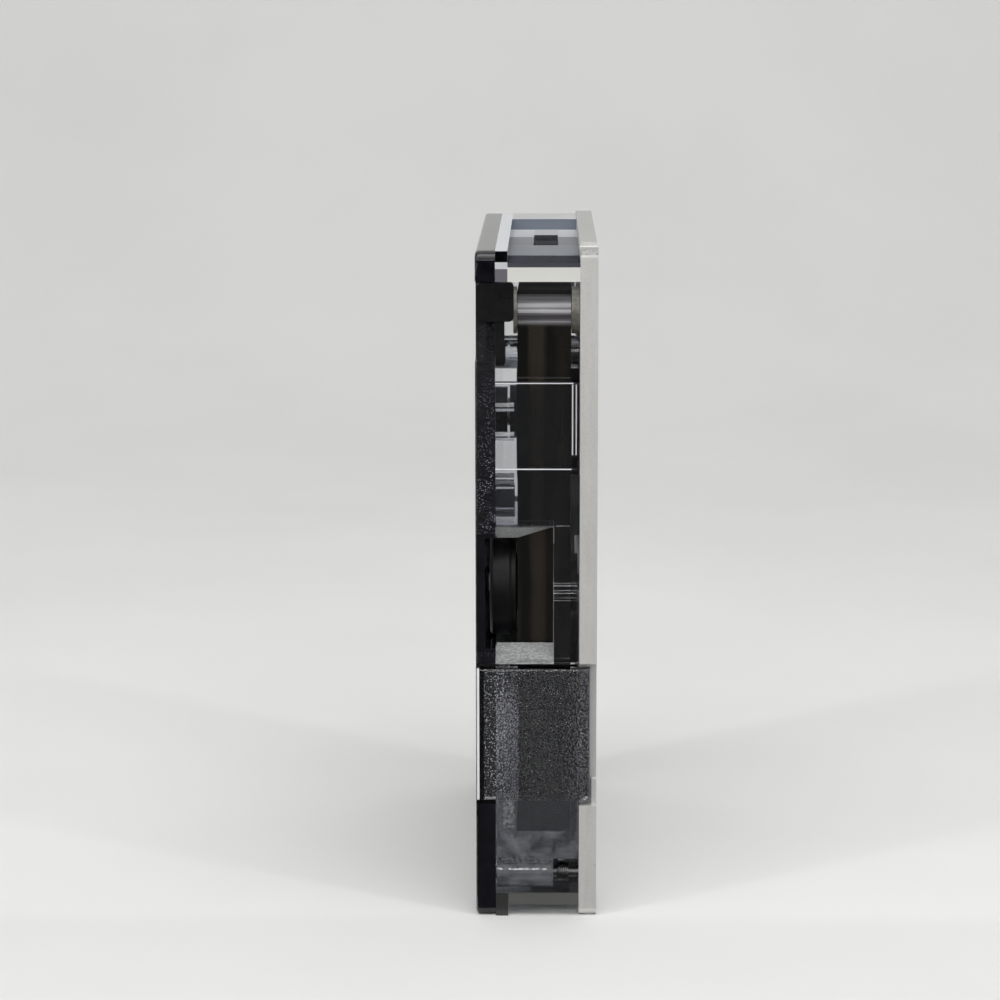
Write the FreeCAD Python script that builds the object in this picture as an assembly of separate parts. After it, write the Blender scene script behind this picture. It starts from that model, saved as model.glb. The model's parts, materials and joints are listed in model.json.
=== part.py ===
import FreeCAD, Part
import math
import os

V = FreeCAD.Vector

# Belt-driven tape cartridge for quarter-inch tape, standing on one short side.
# X runs through the thickness, from the cover (-X) to the base plate (+X).
# Y runs from the front working edge (-Y) to the rear edge (+Y).
# Z runs up the long side from the floor.

# Overall size, mm
thickness = 14.5
depth = 61.34
height = 81.0

# Base plate
plate_thickness = 2.1
plate_corner = 1.2
plate_notch_start = 2.3
plate_notch_length = 7.0
plate_notch_depth = 0.7
notch_corner = 0.3

# Cover
cover_top_drop = 0.3
face_wall = 2.4
side_wall = 1.5
front_wall = 1.4
cover_corner = 1.2
rear_corner = 2.4
face_edge_round = 0.5
rail_depth = 1.4
rail_lip = 3.85
rear_block = 12.34
wall_end_depth = 1.8
wall_end_height = 0.7
label_recess_depth = 0.25
label_recess_height = 58.0
label_recess_width = 34.0
label_recess_corner = 1.5
label_margin = 4.0

# Clear wall over the tape, with a thicker bar above the roller cutout
clear_wall_drop = 15.8
clear_bar_height = 6.8
clear_bar_step = 0.5

# Ribs and shelves moulded behind the clear wall
edge_rib_gap = 0.15
edge_rib_depth = 0.9
line_rib = 0.35
line_rib_depth = 0.4
line_rib_pitch = 0.9
line_rib_count = 3
shelf = 0.5
shelf_depth = 3.6
shelf_count = 2
fin = 0.4
fin_gap = 0.35
fin_depth = 0.9
fin_count = 2

# Tape, wound on two reels and led past the front
tape_width = 6.35
tape_thickness = 0.12
tape_set_back = 2.45
tape_to_plate = 1.05
run_gap = 0.06

# Reels
reel_set_back = 29.2
pack_to_pack = 4.2
pack_to_wall = 3.45
pack_difference = 2.9
hub_radius = 8.5
hub_rim = 1.2
hub_boss_radius = 3.4
hub_web = 1.4
hub_rib = 1.0
hub_rib_count = 6
hub_overhang = 0.3
hub_lift = 0.1
hub_pin_radius = 1.8
cover_boss_radius = 3.2
cover_boss_height = 1.1
cover_boss_play = 0.3

# Tape guides, flanged pins pressed into the plate
guide_radius = 2.3
guide_flange_radius = 2.8
guide_flange = 0.5
guide_stem_radius = 1.3
guide_cap = 0.6
guide_chamfer = 0.3
guide_play = 0.05
upper_guide_drop = 7.7
lower_guide_height = 10.3

# Drive roller in the middle of the front
drive_height = 39.9
drive_set_back = 7.3
puck_radius = 6.4
puck_width = 2.6
puck_skin = 1.1
puck_play = 0.6
puck_edge = 0.3
puck_clearance = 0.3
flange_to_tape = 0.2
pin_boss_radius = 2.0
pin_boss_gap = 0.15
drive_belt_radius = 3.6
drive_shoulder = 0.4
shoulder_width = 0.6
belt_side_room = 0.3
drive_pin_radius = 1.05
cutout_half = 8.0
cutout_reach = 9.3
cutout_web = 0.6
cutout_web_depth = 8.0
web_to_tape = 0.4
ramp_rise = 1.6
ramp_taper_end = 0.25

# Elastic belt and the two rear corner rollers
belt_width = 3.1
belt_thickness = 0.25
belt_to_plate = 2.5
corner_roller_radius = 4.0
corner_roller_crown = 0.15
corner_roller_inset = 6.5
corner_roller_width = 7.2
corner_pin_radius = 1.0
corner_boss_radius = 2.2
corner_boss_height = 2.2
corner_pin_hold = 1.2
roller_lift = 0.2
bore_clearance = 0.05

# Spring door over the head window
door_bottom = 14.4
door_wall_gap = 0.6
door_plate = 1.3
door_reach = 13.69
door_sink = 0.05
door_edge_round = 0.45
door_gap = 0.12
door_arm_gap = 0.1
hinge_height = 5.0
barrel_radius = 1.9
barrel_end = 9.3
door_pin_radius = 0.75
pin_hold = 1.2
door_cover_gap = 0.4
door_plate_gap = 0.6
door_side_gap = 0.2
door_step = 3.2
door_step_depth = 0.7
spring_wire = 0.3
spring_turns = 6
spring_ridge = 0.09
spring_clearance = 0.25
spring_side_gap = 0.3
spring_leg = 5.0
spring_leg_gap = 0.05
door_stop = 1.0
door_stop_gap = 0.15
door_stop_width = 1.6
door_stop_overlap = 1.1

# Write-protect slider in the upper front corner
slider_height = 4.6
slider_travel = 4.6
slider_drop = 4.0
slider_reach = 4.57
slider_inset = 0.2
slider_button = 1.7
slider_body_width = 3.2
slider_depth = 5.0
slider_corner = 0.6
slider_clearance = 0.1
slider_neck = 0.8
slider_neck_depth = 0.8
slider_head = 1.8
slider_head_depth = 0.9
rail_block_wall = 1.2

# Mirror beside the tape
mirror_rise = 1.7
mirror_size = 3.4
mirror_edge = 0.5
mirror_to_tape = 0.7
pocket_wall = 0.5
pocket_size = 3.0

# Screws
screw_radius = 1.0
screw_length = 8.0
screw_head_radius = 1.9
screw_slot = 0.45
screw_slot_depth = 0.5
screw_slot_reach = 1.18
post_wall = 1.0
rear_post_inset = 7.0
side_post_inset = 18.84
front_post_set_back = 10.5
front_post_drop = 13.4
post_sink = 0.4

# Cutters reach past the face they open, and joined forms overlap a little.
past = 1.0
overlap = 0.1
tolerance = 0.001

# Stations worked out from the sizes above
cover_face = -thickness / 2
cover_inside = cover_face + face_wall
plate_face = thickness / 2
plate_inside = plate_face - plate_thickness
front = -depth / 2
rear = depth / 2
cover_top = height - cover_top_drop
rail_rear = rear - rear_block
low_inside = rail_depth + side_wall
high_inside = cover_top - rail_depth - side_wall

tape_right = plate_inside - tape_to_plate
tape_left = tape_right - tape_width
belt_right = plate_inside - belt_to_plate
belt_left = belt_right - belt_width

# The two packs share the room between mid height and the upper wall.
pack_room = high_inside - height / 2 - pack_to_wall
upper_pack_radius = (pack_room - (pack_to_pack - pack_difference) / 2) / 2
lower_pack_radius = upper_pack_radius - pack_difference
reel_spacing = upper_pack_radius + pack_to_pack + lower_pack_radius
reel_y = front + reel_set_back
lower_reel_z = height / 2 - reel_spacing / 2
upper_reel_z = height / 2 + reel_spacing / 2
upper_guide_height = height - upper_guide_drop
guide_y = front + tape_set_back + tape_thickness + run_gap + guide_radius
tape_front = front + tape_set_back
drive_y = front + drive_set_back
corner_y = rear - corner_roller_inset
lower_corner_z = corner_roller_inset
upper_corner_z = cover_top - corner_roller_inset

cutout_low = drive_height - cutout_half
cutout_high = drive_height + cutout_half
cutout_right = cover_face + cutout_reach
clear_wall_bottom = cutout_low - cutout_web
clear_bar_top = cutout_high + clear_bar_height
clear_wall_top = height - clear_wall_drop
wall_back = front + front_wall
web_back = tape_front - web_to_tape
web_side = tape_left - web_to_tape
mirror_bottom = cutout_high + mirror_rise

door_top = clear_wall_bottom - door_wall_gap
door_front = front + door_sink
hinge_y = door_front + barrel_radius
door_notch_y = door_front + door_plate + door_gap
slider_top = height - slider_drop
slider_low = slider_top - slider_height - slider_travel
slider_back = front + slider_depth

boss_face = cover_inside + cover_boss_height
puck_floor = cover_face + puck_skin
puck_left = puck_floor + puck_play
puck_right = puck_left + puck_width
flange_right = tape_left - flange_to_tape
pin_boss_end = puck_left - pin_boss_gap

# Screw posts as (y, z); three of them grow out of the short side walls
post_radius = screw_radius + post_wall
low_post_z = low_inside + post_radius - post_sink
high_post_z = high_inside - post_radius + post_sink
posts = [
    (rear - rear_post_inset, height / 2),
    (rear - side_post_inset, low_post_z),
    (rear - side_post_inset, high_post_z),
    (front + front_post_set_back, low_post_z),
    (front + front_post_set_back, height - front_post_drop),
]


def box(x0, x1, y0, y1, z0, z1):
    return Part.makeBox(x1 - x0, y1 - y0, z1 - z0, V(x0, y0, z0))


def rod(x0, x1, y, z, radius):
    return Part.makeCylinder(radius, x1 - x0, V(x0, y, z), V(1, 0, 0))


# Closed outline across X; each corner is (y, z, radius).
def outline(x, corners):
    rounds = []
    for i in range(len(corners)):
        here = V(x, corners[i][0], corners[i][1])
        before = V(x, corners[i - 1][0], corners[i - 1][1])
        following = corners[(i + 1) % len(corners)]
        after = V(x, following[0], following[1])
        back = (before - here).normalize()
        ahead = (after - here).normalize()
        half = back.getAngle(ahead) / 2
        radius = corners[i][2]
        reach = radius / math.tan(half)
        bisector = (back + ahead).normalize()
        middle = here + bisector * (radius / math.sin(half) - radius)
        rounds.append((here + back * reach, middle, here + ahead * reach, radius))
    edges = []
    for i in range(len(rounds)):
        start, middle, end, radius = rounds[i]
        if radius > 0:
            edges.append(Part.Arc(start, middle, end).toShape())
        edges.append(Part.makeLine(end, rounds[(i + 1) % len(rounds)][0]))
    return Part.Wire(edges)


def slab(x0, x1, corners):
    return Part.Face(outline(x0, corners)).extrude(V(x1 - x0, 0, 0))


def rectangle(y0, y1, z0, z1, radius):
    return [(y0, z0, radius), (y1, z0, radius), (y1, z1, radius), (y0, z1, radius)]


# Turned piece about an axis along X; the profile is a list of (x, radius).
def turned(profile, y, z):
    points = [V(x, y + radius, z) for x, radius in profile]
    face = Part.Face(Part.makePolygon(points + points[:1]))
    return face.revolve(V(0, y, z), V(1, 0, 0), 360)


# Run of a strip over wheels given as (y, z, radius, turn), in the plane at x.
# A turn of 1 goes round the wheel with its centre on the left, -1 on the right.
def strip_points(wheels, closed):
    runs = []
    count = len(wheels)
    for i in range(count if closed else count - 1):
        y0, z0, r0, turn0 = wheels[i]
        y1, z1, r1, turn1 = wheels[(i + 1) % count]
        distance = math.hypot(y1 - y0, z1 - z0)
        along_y = (y1 - y0) / distance
        along_z = (z1 - z0) / distance
        lean = (turn1 * r1 - turn0 * r0) / distance
        square = math.sqrt(1 - lean * lean)
        normal_y = lean * along_y - square * along_z
        normal_z = lean * along_z + square * along_y
        leave = (y0 - normal_y * turn0 * r0, z0 - normal_z * turn0 * r0)
        meet = (y1 - normal_y * turn1 * r1, z1 - normal_z * turn1 * r1)
        runs.append((leave, meet))
    return runs


def wheel_arc(x, wheel, meet, leave):
    y, z, radius, turn = wheel
    first = math.atan2(meet[1] - z, meet[0] - y)
    last = math.atan2(leave[1] - z, leave[0] - y)
    if turn * (last - first) < 0:
        last = last + turn * 2 * math.pi
    middle = (first + last) / 2
    halfway = V(x, y + radius * math.cos(middle), z + radius * math.sin(middle))
    return Part.Arc(V(x, meet[0], meet[1]), halfway, V(x, leave[0], leave[1])).toShape()


def strip_edges(x, wheels, closed):
    runs = strip_points(wheels, closed)
    edges = []
    for i in range(len(runs)):
        leave, meet = runs[i]
        edges.append(Part.makeLine(V(x, leave[0], leave[1]), V(x, meet[0], meet[1])))
        if closed or i < len(runs) - 1:
            next_wheel = wheels[(i + 1) % len(wheels)]
            next_leave = runs[(i + 1) % len(runs)][0]
            edges.append(wheel_arc(x, next_wheel, meet, next_leave))
    return edges


# The two faces of a strip lie run_gap and run_gap + strip_thickness off each wheel.
def strip_sides(wheels, strip_thickness):
    sides = []
    for side in (-1, 1):
        shifted = []
        for y, z, radius, turn in wheels:
            middle = radius + run_gap + strip_thickness / 2
            shifted.append((y, z, middle + side * turn * strip_thickness / 2, turn))
        sides.append(shifted)
    return sides


def closed_strip(x0, x1, wheels, strip_thickness):
    inner, outer = strip_sides(wheels, strip_thickness)
    inner_face = Part.Face(Part.Wire(strip_edges(x0, inner, True)))
    outer_face = Part.Face(Part.Wire(strip_edges(x0, outer, True)))
    return outer_face.extrude(V(x1 - x0, 0, 0)).cut(inner_face.extrude(V(x1 - x0, 0, 0)))


def open_strip(x0, x1, wheels, strip_thickness):
    left, right = strip_sides(wheels, strip_thickness)
    left_edges = strip_edges(x0, left, False)
    right_edges = strip_edges(x0, right, False)
    start = Part.makeLine(left_edges[0].Vertexes[0].Point, right_edges[0].Vertexes[0].Point)
    end = Part.makeLine(left_edges[-1].Vertexes[-1].Point, right_edges[-1].Vertexes[-1].Point)
    rim = Part.__sortEdges__(left_edges + right_edges + [start, end])
    return Part.Face(Part.Wire(rim)).extrude(V(x1 - x0, 0, 0))


# Aluminium plate that carries every pin
def base_plate():
    notch_low = door_bottom - door_plate_gap
    notch_high = door_top + door_plate_gap
    corners = [
        (front, 0, plate_corner),
        (rear, 0, plate_corner),
        (rear, height, plate_corner),
        (front, height, plate_corner),
        (front, notch_high, 0),
        (door_notch_y, notch_high, notch_corner),
        (door_notch_y, notch_low, notch_corner),
        (front, notch_low, 0),
    ]
    plate = slab(plate_inside, plate_face, corners)
    ledge = box(cover_face + door_reach + door_side_gap, plate_face, door_notch_y - door_step_depth,
                door_notch_y + notch_corner, notch_low - notch_corner, notch_low + door_step)
    plate = plate.fuse(ledge).removeSplitter()
    notch_y = front + plate_notch_start
    for z0, z1 in ((-past, plate_notch_depth), (height - plate_notch_depth, height + past)):
        notch = rectangle(notch_y, notch_y + plate_notch_length, z0, z1, notch_corner)
        plate = plate.cut(slab(plate_inside - past, plate_face + past, notch))
    for y, z, radius in pressed_pins():
        plate = plate.cut(rod(plate_inside - past, plate_face + past, y, z, radius))
    for y, z in posts:
        plate = plate.cut(screw_body(y, z))
    return plate


# Everything pressed through the plate, as (y, z, radius)
def pressed_pins():
    return [
        (reel_y, lower_reel_z, hub_pin_radius),
        (reel_y, upper_reel_z, hub_pin_radius),
        (guide_y, lower_guide_height, guide_stem_radius),
        (guide_y, upper_guide_height, guide_stem_radius),
        (drive_y, drive_height, drive_pin_radius),
        (corner_y, lower_corner_z, corner_pin_radius),
        (corner_y, upper_corner_z, corner_pin_radius),
        (hinge_y, hinge_height, door_pin_radius),
    ]


# Countersunk screw without its slots, used for the hole as well
def screw_body(y, z):
    cone = screw_head_radius - screw_radius
    profile = [
        (plate_face - screw_length, 0),
        (plate_face - screw_length, screw_radius),
        (plate_face - cone, screw_radius),
        (plate_face, screw_head_radius),
        (plate_face, 0),
    ]
    return turned(profile, y, z)


def cover_screws():
    screws = []
    for y, z in posts:
        screw = screw_body(y, z)
        reach = screw_slot_reach
        depth_x = plate_face - screw_slot_depth
        half = screw_slot / 2
        screw = screw.cut(box(depth_x, plate_face + past, y - half, y + half, z - reach, z + reach))
        screw = screw.cut(box(depth_x, plate_face + past, y - reach, y + reach, z - half, z + half))
        screws.append(screw)
    return Part.makeCompound(screws)


# Outline of the cover's skirt; the rear end is wider, past the guide rails.
def skirt(x0, x1, inset, front_y):
    low = rail_depth + inset
    high = cover_top - rail_depth - inset
    step = rail_rear + inset
    corners = [
        (front_y, low, 0),
        (step, low, 0),
        (step, inset, 0),
        (rear - inset, inset, rear_corner - inset),
        (rear - inset, cover_top - inset, rear_corner - inset),
        (step, cover_top - inset, 0),
        (step, high, 0),
        (front_y, high, 0),
    ]
    return slab(x0, x1, corners)


def face_panel():
    panel = slab(cover_face, cover_inside, [
        (front, 0, cover_corner),
        (rear, 0, rear_corner),
        (rear, cover_top, rear_corner),
        (front, cover_top, cover_corner),
    ])
    rim = [edge for edge in panel.Edges if edge.BoundBox.XMax < cover_face + tolerance]
    return panel.makeFillet(face_edge_round, rim)


# Lips beside the guide rails, flush with the short sides
def rail_lips():
    low = box(cover_inside, cover_face + rail_lip, front, rail_rear, 0, low_inside)
    high = box(cover_inside, cover_face + rail_lip, front, rail_rear, high_inside, cover_top)
    return [low, high]


def clear_wall():
    bar_back = wall_back + clear_bar_step
    wall = box(cover_inside, plate_inside, front, wall_back, clear_wall_bottom, clear_wall_top)
    bar = box(cover_inside, plate_inside, front, bar_back, cutout_high, clear_bar_top)
    cutout = box(cover_inside, cutout_right, front - past, bar_back, cutout_low, cutout_high)
    return wall.cut(cutout).fuse(bar)


# Thin webs that close the roller cutout above and below
def cutout_webs():
    webs = []
    for z0 in (clear_wall_bottom, cutout_high):
        webs.append(box(cover_inside, web_side, front, front + cutout_web_depth, z0, z0 + cutout_web))
        webs.append(box(web_side, cutout_right, front, web_back, z0, z0 + cutout_web))
    return webs


# Slanted lead-ins of the cutout; the upper one runs out beside the tape.
def cutout_ramps():
    low = slab(cover_inside, cutout_right, [
        (front, clear_wall_bottom, 0),
        (web_back, clear_wall_bottom, 0),
        (web_back, cutout_low + ramp_rise, 0),
        (front, cutout_low, 0),
    ])
    high = slab(cover_inside, tape_left, ramp_profile(ramp_rise))
    start = outline(tape_left, ramp_profile(ramp_rise))
    end = outline(cutout_right, ramp_profile(ramp_taper_end))
    return [low, high, Part.makeLoft([start, end], True, True)]


def ramp_profile(rise):
    return [
        (front, cutout_high, 0),
        (web_back, cutout_high - rise, 0),
        (web_back, cutout_high + cutout_web, 0),
        (front, cutout_high + cutout_web, 0),
    ]


# Upright rib beside the tape and short level ribs beside the cutout
def clear_wall_ribs():
    left = tape_right + edge_rib_gap
    ribs = [box(left, plate_inside, wall_back, wall_back + edge_rib_depth, clear_bar_top, clear_wall_top)]
    for i in range(line_rib_count):
        middle = drive_height + (i - (line_rib_count - 1) / 2) * line_rib_pitch
        ribs.append(box(cutout_right, plate_inside, wall_back, wall_back + line_rib_depth,
                        middle - line_rib / 2, middle + line_rib / 2))
    return ribs


# Level shelves and fins between the face panel and the tape
def shelves():
    levels = []
    pitch = (clear_wall_top - clear_bar_top) / (shelf_count + 1)
    for i in range(shelf_count):
        z0 = clear_bar_top + (i + 1) * pitch
        levels.append(box(cover_inside, web_side, wall_back, wall_back + shelf_depth, z0, z0 + shelf))
    for i in range(fin_count):
        z0 = mirror_bottom + pocket_size + fin_gap + i * (fin + fin_gap)
        levels.append(box(cover_inside, web_side, wall_back, wall_back + clear_bar_step + fin_depth,
                          z0, z0 + fin))
    return levels


# Upright rib that the closed door rests against
def door_stop_rib():
    y0 = door_front + door_plate + door_stop_gap
    z0 = hinge_height + barrel_radius + door_stop_overlap
    return box(cover_inside, cover_inside + door_stop_width, y0, y0 + door_stop,
               z0, door_bottom + door_stop_overlap)


# Block behind the write-protect slider, with the T slot that holds it
def slider_block():
    z0 = slider_low - rail_block_wall
    z1 = slider_top + slider_clearance
    back = slider_back + slider_neck_depth + slider_head_depth + rail_block_wall
    return box(cover_inside - overlap, cover_face + slider_inset + slider_body_width,
               slider_back, back, z0, z1)


def slider_slot(gap):
    centre = cover_face + slider_inset + slider_body_width / 2
    neck_end = slider_back + slider_neck_depth
    neck = box(centre - slider_neck / 2 - gap, centre + slider_neck / 2 + gap,
               slider_back - past, neck_end + overlap, slider_low, slider_top)
    head = box(centre - slider_head / 2 - gap, centre + slider_head / 2 + gap,
               neck_end - gap, neck_end + slider_head_depth + gap, slider_low, slider_top)
    return neck.fuse(head)


# Open pocket above the mirror
def mirror_pocket():
    y0 = wall_back
    z0 = mirror_bottom
    outer = box(cover_inside, web_side, y0, y0 + pocket_size + pocket_wall, z0, z0 + pocket_size)
    inner = box(cover_inside, web_side + past, y0 + pocket_wall, y0 + pocket_size,
                z0 + pocket_wall, z0 + pocket_size - pocket_wall)
    return outer.cut(inner)


# Round room for the drive roller, open to the front, with a boss round its pin
def drive_room():
    half = puck_radius + puck_clearance
    room = rod(puck_floor, cover_inside + past, drive_y, drive_height, half)
    mouth = box(puck_floor, cover_inside + overlap, front - past, drive_y,
                drive_height - half, drive_height + half)
    boss = rod(puck_floor, pin_boss_end, drive_y, drive_height, pin_boss_radius)
    pin = rod(puck_floor, pin_boss_end + overlap, drive_y, drive_height, drive_pin_radius)
    return room.fuse(mouth).cut(boss.cut(pin))


def cover():
    inside = skirt(cover_inside, plate_inside + past, side_wall, front - past)
    walls = skirt(cover_inside, plate_inside, 0, front).cut(inside)
    end_low = box(cover_inside, plate_inside, front, front + wall_end_depth,
                  high_inside - wall_end_height, high_inside + overlap)
    pieces = [walls, clear_wall(), end_low, slider_block(), mirror_pocket(), door_stop_rib()]
    pieces = pieces + rail_lips() + cutout_webs() + cutout_ramps() + clear_wall_ribs() + shelves()
    for z in (lower_reel_z, upper_reel_z):
        pieces.append(rod(cover_inside, boss_face, reel_y, z, cover_boss_radius))
    for z in (lower_corner_z, upper_corner_z):
        pieces.append(rod(cover_inside, cover_inside + corner_boss_height, corner_y, z, corner_boss_radius))
    for y, z in posts:
        pieces.append(rod(cover_inside, plate_inside, y, z, post_radius))
    shell = face_panel().multiFuse(pieces)
    for cut in cover_cuts():
        shell = shell.cut(cut)
    return shell.removeSplitter()


def cover_cuts():
    label_y = rear - rear_corner - label_margin - label_recess_width / 2
    label = rectangle(label_y - label_recess_width / 2, label_y + label_recess_width / 2,
                      height / 2 - label_recess_height / 2, height / 2 + label_recess_height / 2,
                      label_recess_corner)
    pin_x = cover_inside + corner_boss_height - corner_pin_hold
    cuts = [
        # door seat in the face panel
        box(cover_face - past, cover_inside, front - past, door_notch_y,
            door_bottom - door_cover_gap, clear_wall_bottom),
        drive_room(),
        # write-protect window, open to the front and to the outer face
        box(cover_face - past, cover_inside + overlap, front - past, slider_back,
            slider_low - slider_clearance, slider_top + slider_clearance),
        slider_slot(slider_clearance),
        # door pin
        rod(cover_inside - pin_hold, cover_inside + overlap, hinge_y, hinge_height, door_pin_radius),
        slab(cover_face - past, cover_face + label_recess_depth, label),
    ]
    for z in (lower_corner_z, upper_corner_z):
        cuts.append(rod(pin_x, cover_inside + corner_boss_height + overlap, corner_y, z, corner_pin_radius))
    for y, z in posts:
        cuts.append(rod(plate_face - screw_length, plate_inside + overlap, y, z, screw_radius))
    return cuts


# Door with its wide plate, narrower arm and hinge barrel
def door():
    right = cover_face + door_reach
    arm_left = cover_inside + door_arm_gap
    arm_right = plate_inside - door_arm_gap
    back = door_front + door_plate
    plate = box(cover_face, right, door_front, back, door_bottom, door_top)
    rim = [edge for edge in plate.Edges if edge.BoundBox.YMax < door_front + tolerance]
    plate = plate.makeFillet(door_edge_round, rim)
    spring_room = hinge_height + barrel_radius + spring_side_gap
    barrel_right = cover_face + barrel_end
    arm = box(arm_left, barrel_right, door_front, back, hinge_height, door_bottom + door_edge_round)
    shoulder = box(arm_left, arm_right, door_front, back, spring_room, door_bottom + door_edge_round)
    barrel = rod(arm_left, barrel_right, hinge_y, hinge_height, barrel_radius)
    bore = rod(arm_left - past, barrel_right + past, hinge_y, hinge_height, door_pin_radius + bore_clearance)
    return plate.multiFuse([arm, shoulder, barrel]).cut(bore).removeSplitter()


def door_pin():
    return rod(cover_inside - pin_hold, plate_face, hinge_y, hinge_height, door_pin_radius)


# Close-wound torsion spring on the door pin, with a leg to the door and one to the wall
def door_spring():
    wire = spring_wire / 2
    inner = door_pin_radius + spring_clearance
    middle = inner + wire
    left = cover_face + barrel_end + spring_side_gap
    right = left + spring_turns * spring_wire
    profile = [(right, inner), (left, inner), (left, middle)]
    for i in range(spring_turns):
        turn_x = left + i * spring_wire
        profile.append((turn_x + spring_ridge, middle + wire))
        profile.append((turn_x + spring_wire - spring_ridge, middle + wire))
        profile.append((turn_x + spring_wire, middle))
    coil = turned(profile, hinge_y, hinge_height)
    wall_foot = V(right - wire, hinge_y, hinge_height - middle)
    wall_leg = Part.makeCylinder(wire, spring_leg, wall_foot, V(0, 1, 0))
    leg_y = door_front + door_plate + spring_leg_gap + wire
    leg_z = hinge_height + math.sqrt(middle ** 2 - (hinge_y - leg_y) ** 2)
    door_leg = Part.makeCylinder(wire, spring_leg, V(left + wire, leg_y, leg_z), V(0, 0, 1))
    return coil.multiFuse([wall_leg, door_leg])


def drive_roller():
    belt_low = belt_left - belt_side_room
    belt_high = belt_right + belt_side_room
    shoulder = drive_belt_radius + drive_shoulder
    bore = drive_pin_radius + bore_clearance
    profile = [
        (puck_left, bore),
        (puck_left, puck_radius - puck_edge),
        (puck_left + puck_edge, puck_radius),
        (puck_right - puck_edge, puck_radius),
        (puck_right, puck_radius - puck_edge),
        (flange_right, puck_radius - puck_edge),
        (flange_right, drive_belt_radius),
        (belt_low - shoulder_width, drive_belt_radius),
        (belt_low - shoulder_width, shoulder),
        (belt_low, shoulder),
        (belt_low, drive_belt_radius),
        (belt_high, drive_belt_radius),
        (belt_high, shoulder),
        (belt_high + shoulder_width, shoulder),
        (belt_high + shoulder_width, drive_belt_radius),
        (plate_inside - roller_lift, drive_belt_radius),
        (plate_inside - roller_lift, bore),
    ]
    return turned(profile, drive_y, drive_height)


def drive_roller_pin():
    return rod(puck_floor, plate_face, drive_y, drive_height, drive_pin_radius)


# Crowned roller whose middle carries the belt
def corner_roller(z):
    right = plate_inside - roller_lift
    left = right - corner_roller_width
    end_radius = corner_roller_radius - corner_roller_crown
    bore = corner_pin_radius + bore_clearance
    points = [V(x, corner_y + radius, z) for x, radius in (
        (left, bore), (left, end_radius), (right, end_radius), (right, bore))]
    crown = V((left + right) / 2, corner_y + corner_roller_radius, z)
    edges = [
        Part.makeLine(points[0], points[1]),
        Part.Arc(points[1], crown, points[2]).toShape(),
        Part.makeLine(points[2], points[3]),
        Part.makeLine(points[3], points[0]),
    ]
    return Part.Face(Part.Wire(edges)).revolve(V(0, corner_y, z), V(1, 0, 0), 360)


def corner_roller_pin(z):
    tip = cover_inside + corner_boss_height - corner_pin_hold
    return rod(tip, plate_face, corner_y, z, corner_pin_radius)


# Spool: rim, web, bearing boss and ribs on both sides of the web
def reel_hub(z):
    right = plate_inside - hub_lift
    left = tape_left - hub_overhang
    top = boss_face + cover_boss_play
    middle = (left + right) / 2
    bore = hub_pin_radius + bore_clearance
    rim_inside = hub_radius - hub_rim
    profile = [
        (top, bore),
        (top, hub_boss_radius),
        (middle - hub_web / 2, hub_boss_radius),
        (middle - hub_web / 2, rim_inside),
        (left, rim_inside),
        (left, hub_radius),
        (right, hub_radius),
        (right, rim_inside),
        (middle + hub_web / 2, rim_inside),
        (middle + hub_web / 2, hub_boss_radius),
        (right, hub_boss_radius),
        (right, bore),
    ]
    spool = turned(profile, reel_y, z)
    ribs = []
    for i in range(hub_rib_count):
        rib = box(left + hub_rib, right - hub_rib, reel_y + hub_boss_radius - overlap,
                  reel_y + rim_inside + overlap, z - hub_rib / 2, z + hub_rib / 2)
        rib.rotate(V(0, reel_y, z), V(1, 0, 0), 360 * i / hub_rib_count)
        ribs.append(rib)
    return spool.multiFuse(ribs).removeSplitter()


def hub_pin(z):
    return rod(boss_face, plate_face, reel_y, z, hub_pin_radius)


def tape_pack(z, radius):
    profile = [(tape_left, hub_radius), (tape_left, radius), (tape_right, radius), (tape_right, hub_radius)]
    return turned(profile, reel_y, z)


def tape_guide(z):
    top = tape_left - guide_flange
    profile = [
        (top - guide_cap, 0),
        (top - guide_cap, guide_stem_radius - guide_chamfer),
        (top - guide_cap + guide_chamfer, guide_stem_radius),
        (top, guide_stem_radius),
        (top, guide_flange_radius),
        (tape_left - guide_play, guide_flange_radius),
        (tape_left - guide_play, guide_radius),
        (tape_right + guide_play, guide_radius),
        (tape_right + guide_play, guide_flange_radius),
        (plate_inside, guide_flange_radius),
        (plate_inside, guide_stem_radius),
        (plate_face, guide_stem_radius),
        (plate_face, 0),
    ]
    return turned(profile, guide_y, z)


def tape_run():
    wheels = [
        (reel_y, lower_reel_z, lower_pack_radius, -1),
        (guide_y, lower_guide_height, guide_radius, -1),
        (guide_y, upper_guide_height, guide_radius, -1),
        (reel_y, upper_reel_z, upper_pack_radius, -1),
    ]
    return open_strip(tape_left, tape_right, wheels, tape_thickness)


def drive_belt():
    wheels = [
        (drive_y, drive_height, drive_belt_radius, 1),
        (reel_y, lower_reel_z, lower_pack_radius, -1),
        (corner_y, lower_corner_z, corner_roller_radius, 1),
        (corner_y, upper_corner_z, corner_roller_radius, 1),
        (reel_y, upper_reel_z, upper_pack_radius, -1),
    ]
    return closed_strip(belt_left, belt_right, wheels, belt_thickness)


# Small prism whose slanted face turns light through the end-of-tape holes
def mirror():
    y0 = tape_front + tape_thickness + mirror_to_tape
    y1 = y0 + mirror_size
    z1 = mirror_bottom + mirror_size
    corners = [
        (y0, mirror_bottom, 0),
        (y1, mirror_bottom, 0),
        (y1, z1, 0),
        (y1 - mirror_edge, z1, 0),
        (y0, mirror_bottom + mirror_edge, 0),
    ]
    return slab(tape_left, plate_inside, corners)


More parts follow.
